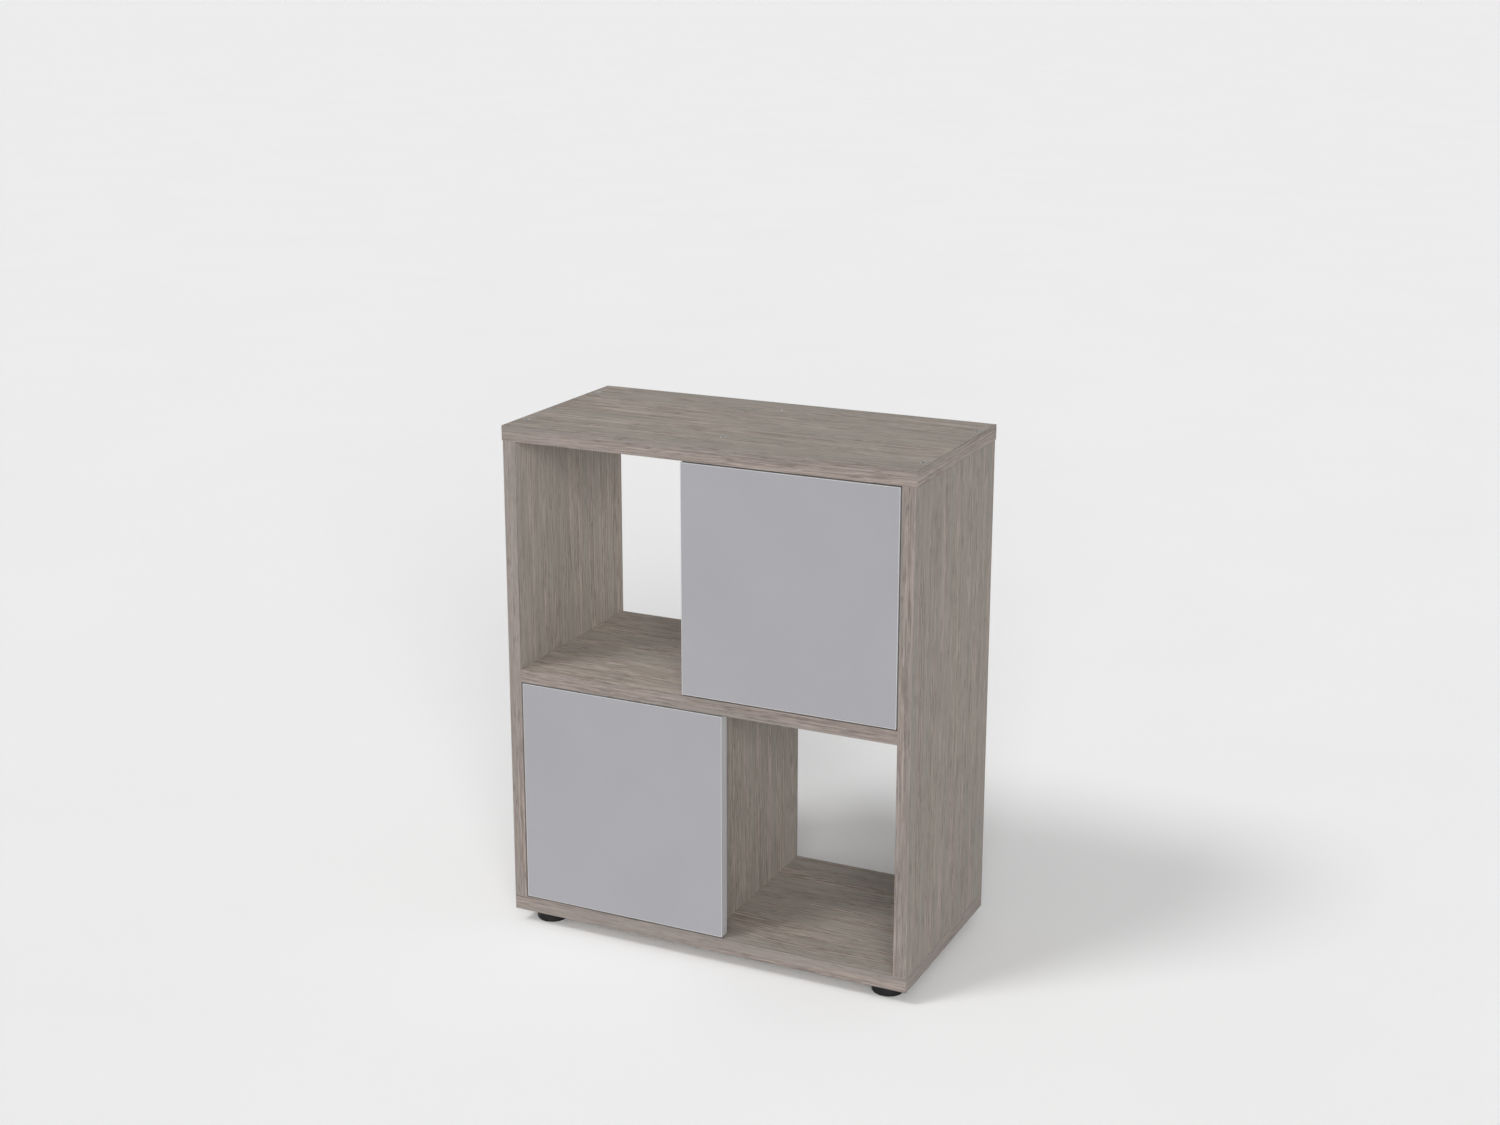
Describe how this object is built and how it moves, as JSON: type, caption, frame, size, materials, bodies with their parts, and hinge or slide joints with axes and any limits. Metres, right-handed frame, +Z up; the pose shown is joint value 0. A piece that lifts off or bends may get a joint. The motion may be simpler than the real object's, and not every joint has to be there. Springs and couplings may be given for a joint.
{
  "type": "aquarium stand cabinet",
  "caption": "Low cabinet that carries an aquarium: open niches and hinged cupboards set corner to corner around a middle shelf, on levelling feet.",
  "frame": {"origin": "on the floor under the middle of the cabinet, at the centre of the bounding box's base", "axes": "+Z up, -Y towards the front with the doors, +X to the right as seen from the front"},
  "size_m": [0.603, 0.296, 0.73],
  "materials": {
    "decor_board_level": "grey-brown oak melamine over particleboard, grain along the width",
    "decor_board_upright": "grey-brown oak melamine over particleboard, grain upright",
    "decor_edging": "grey-brown oak edge banding",
    "door_laminate": "satin plain grey melamine over particleboard",
    "door_edging": "satin grey edge banding",
    "hardboard": "thin fibreboard, printed face",
    "beech": "bare turned beech",
    "zinc": "die-cast zinc",
    "zinc_plated_steel": "zinc-plated steel",
    "nickel_plated_steel": "nickel-plated pressed steel",
    "foot_plastic": "moulded black plastic",
    "bumper_plastic": "soft clear bumper"
  },
  "bodies": {
    "carcass": {"bottom_board": "decor_board_level", "bottom_board_edge_bands": "decor_edging", "bottom_board_screws": "zinc_plated_steel", "divider_cam_bolts": "zinc_plated_steel", "divider_cams": "zinc", "foot_inserts": "zinc", "left_side_panel": "decor_board_upright", "left_side_panel_edge_bands": "decor_edging", "lower_back_panel": "hardboard", "lower_divider": "decor_board_upright", "lower_divider_edge_bands": "decor_edging", "lower_door_arm_pins": "nickel_plated_steel", "lower_door_bumpers": "bumper_plastic", "lower_door_clamp_screws": "nickel_plated_steel", "lower_door_hinge_arms": "nickel_plated_steel", "lower_door_hinge_plates": "nickel_plated_steel", "lower_door_plate_screws": "nickel_plated_steel", "middle_shelf": "decor_board_level", "right_side_panel": "decor_board_upright", "right_side_panel_edge_bands": "decor_edging", "shelf_cam_bolts": "zinc_plated_steel", "shelf_cams": "zinc", "shelf_edge_bands": "decor_edging", "top_board": "decor_board_level", "top_board_edge_bands": "decor_edging", "top_board_screws": "zinc_plated_steel", "upper_back_panel": "hardboard", "upper_divider": "decor_board_upright", "upper_divider_edge_bands": "decor_edging", "upper_door_arm_pins": "nickel_plated_steel", "upper_door_bumpers": "bumper_plastic", "upper_door_clamp_screws": "nickel_plated_steel", "upper_door_hinge_arms": "nickel_plated_steel", "upper_door_hinge_plates": "nickel_plated_steel", "upper_door_plate_screws": "nickel_plated_steel", "wooden_dowels": "beech"},
    "lower_door_leaf": {"lower_door_panel": "door_laminate", "lower_door_edge_bands": "door_edging", "lower_door_hinge_cups": "nickel_plated_steel", "lower_door_cup_screws": "nickel_plated_steel", "lower_door_cup_pins": "nickel_plated_steel"},
    "lower_door_long_link_pair": {"lower_door_long_links": "nickel_plated_steel"},
    "lower_door_short_link_set": {"lower_door_short_links": "nickel_plated_steel"},
    "upper_door_leaf": {"upper_door_panel": "door_laminate", "upper_door_edge_bands": "door_edging", "upper_door_hinge_cups": "nickel_plated_steel", "upper_door_cup_screws": "nickel_plated_steel", "upper_door_cup_pins": "nickel_plated_steel"},
    "upper_door_long_link_pair": {"upper_door_long_links": "nickel_plated_steel"},
    "upper_door_short_link_set": {"upper_door_short_links": "nickel_plated_steel"},
    "front_left_foot": {"front_left_foot_disc": "foot_plastic", "front_left_foot_stud": "zinc_plated_steel"},
    "front_right_foot": {"front_right_foot_disc": "foot_plastic", "front_right_foot_stud": "zinc_plated_steel"},
    "rear_left_foot": {"rear_left_foot_disc": "foot_plastic", "rear_left_foot_stud": "zinc_plated_steel"},
    "rear_right_foot": {"rear_right_foot_disc": "foot_plastic", "rear_right_foot_stud": "zinc_plated_steel"}
  },
  "joints": [
    {"name": "lower_door_long_links_turn", "type": "hinge", "parent": "carcass", "child": "lower_door_long_link_pair", "pos_m": [-0.2456, -0.1378, 0.20325], "axis": [0, 0, -1], "range_deg": [0, 9.5]},
    {"name": "lower_door_hinge", "type": "hinge", "parent": "lower_door_long_link_pair", "child": "lower_door_leaf", "pos_m": [-0.2671, -0.1418, 0.20325], "axis": [0, 0, -1], "range_deg": [0, 86]},
    {"name": "lower_door_short_links_turn", "type": "hinge", "parent": "carcass", "child": "lower_door_short_link_set", "pos_m": [-0.2639, -0.1398, 0.20325], "axis": [0, 0, -1], "range_deg": [0, 115]},
    {"name": "upper_door_long_links_turn", "type": "hinge", "parent": "carcass", "child": "upper_door_long_link_pair", "pos_m": [0.2456, -0.1378, 0.54675], "axis": [0, 0, 1], "range_deg": [0, 9.5]},
    {"name": "upper_door_hinge", "type": "hinge", "parent": "upper_door_long_link_pair", "child": "upper_door_leaf", "pos_m": [0.2671, -0.1418, 0.54675], "axis": [0, 0, 1], "range_deg": [0, 86]},
    {"name": "upper_door_short_links_turn", "type": "hinge", "parent": "carcass", "child": "upper_door_short_link_set", "pos_m": [0.2639, -0.1398, 0.54675], "axis": [0, 0, 1], "range_deg": [0, 115]},
    {"name": "front_left_foot_screw", "type": "slide", "parent": "carcass", "child": "front_left_foot", "axis": [0, 0, -1], "range_m": [0, 0.008]},
    {"name": "front_right_foot_screw", "type": "slide", "parent": "carcass", "child": "front_right_foot", "axis": [0, 0, -1], "range_m": [0, 0.008]},
    {"name": "rear_left_foot_screw", "type": "slide", "parent": "carcass", "child": "rear_left_foot", "axis": [0, 0, -1], "range_m": [0, 0.008]},
    {"name": "rear_right_foot_screw", "type": "slide", "parent": "carcass", "child": "rear_right_foot", "axis": [0, 0, -1], "range_m": [0, 0.008]}
  ],
  "couplings": [
    {"joint": "lower_door_long_links_turn", "follows": "lower_door_hinge", "ratio": 0.107},
    {"joint": "lower_door_short_links_turn", "follows": "lower_door_hinge", "ratio": 1.3104},
    {"joint": "upper_door_long_links_turn", "follows": "upper_door_hinge", "ratio": 0.107},
    {"joint": "upper_door_short_links_turn", "follows": "upper_door_hinge", "ratio": 1.3104}
  ]
}
